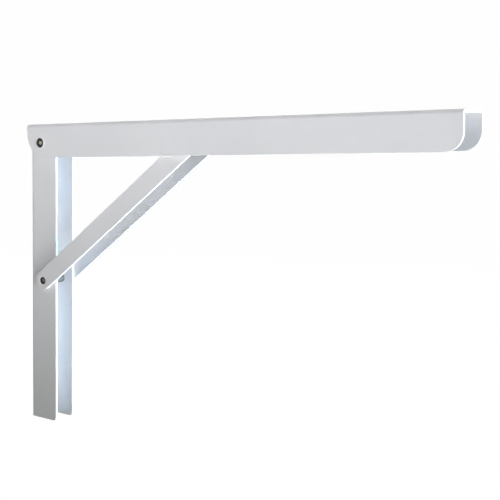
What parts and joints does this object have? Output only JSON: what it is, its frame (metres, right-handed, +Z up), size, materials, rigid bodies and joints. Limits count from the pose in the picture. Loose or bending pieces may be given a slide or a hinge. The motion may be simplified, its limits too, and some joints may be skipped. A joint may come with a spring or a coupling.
{
  "type": "folding shelf bracket",
  "caption": "Folding shelf bracket with a channel wall leg, a channel arm on a riveted hinge, and a flat-bar brace whose cross pin slides in a guide rail and locks open.",
  "frame": {"origin": "on the wall plane, on the bracket's middle plane, level with the main hinge pin", "axes": "+X out from the wall, +Y across the bracket, +Z up. Left is -Y"},
  "size_m": [0.4014, 0.0367, 0.2822],
  "materials": {
    "white_coat": "white powder coat, fine orange peel",
    "zinc_steel": "dull zinc plate",
    "spring_steel": "tempered spring steel, oiled",
    "bush_plastic": "natural moulded plastic"
  },
  "bodies": {
    "wall_leg": {"wall_leg": "white_coat", "top_spacer_tube": "zinc_steel", "lower_spacer_tube": "zinc_steel", "top_bush_left": "zinc_steel", "top_bush_right": "zinc_steel"},
    "brace": {"brace_bar_left": "white_coat", "brace_bar_right": "white_coat", "lower_pivot_rivet": "zinc_steel", "slide_pin": "zinc_steel", "guide_bush_left": "bush_plastic", "guide_bush_right": "bush_plastic"},
    "shelf_arm": {"shelf_arm": "white_coat", "top_pivot_rivet": "zinc_steel", "guide_rail": "zinc_steel", "lock_spring": "spring_steel", "rail_rivet_rear": "zinc_steel", "rail_rivet_middle": "zinc_steel", "rail_rivet_front": "zinc_steel", "spring_rivet_rear": "zinc_steel", "spring_rivet_front": "zinc_steel"}
  },
  "joints": [
    {"name": "arm_fold", "type": "hinge", "parent": "wall_leg", "child": "shelf_arm", "pos_m": [0.0166, 0, 0], "axis": [0, 1, 0], "range_deg": [0, 93.3], "deforming": ["lock_spring"]},
    {"name": "brace_fold", "type": "hinge", "parent": "wall_leg", "child": "brace", "pos_m": [0.0166, 0, -0.1196], "axis": [0, 1, 0], "range_deg": [0, 127.46]}
  ],
  "couplings": [
    {"joint": "brace_fold", "follows": "arm_fold", "ratio": 1.3661}
  ]
}
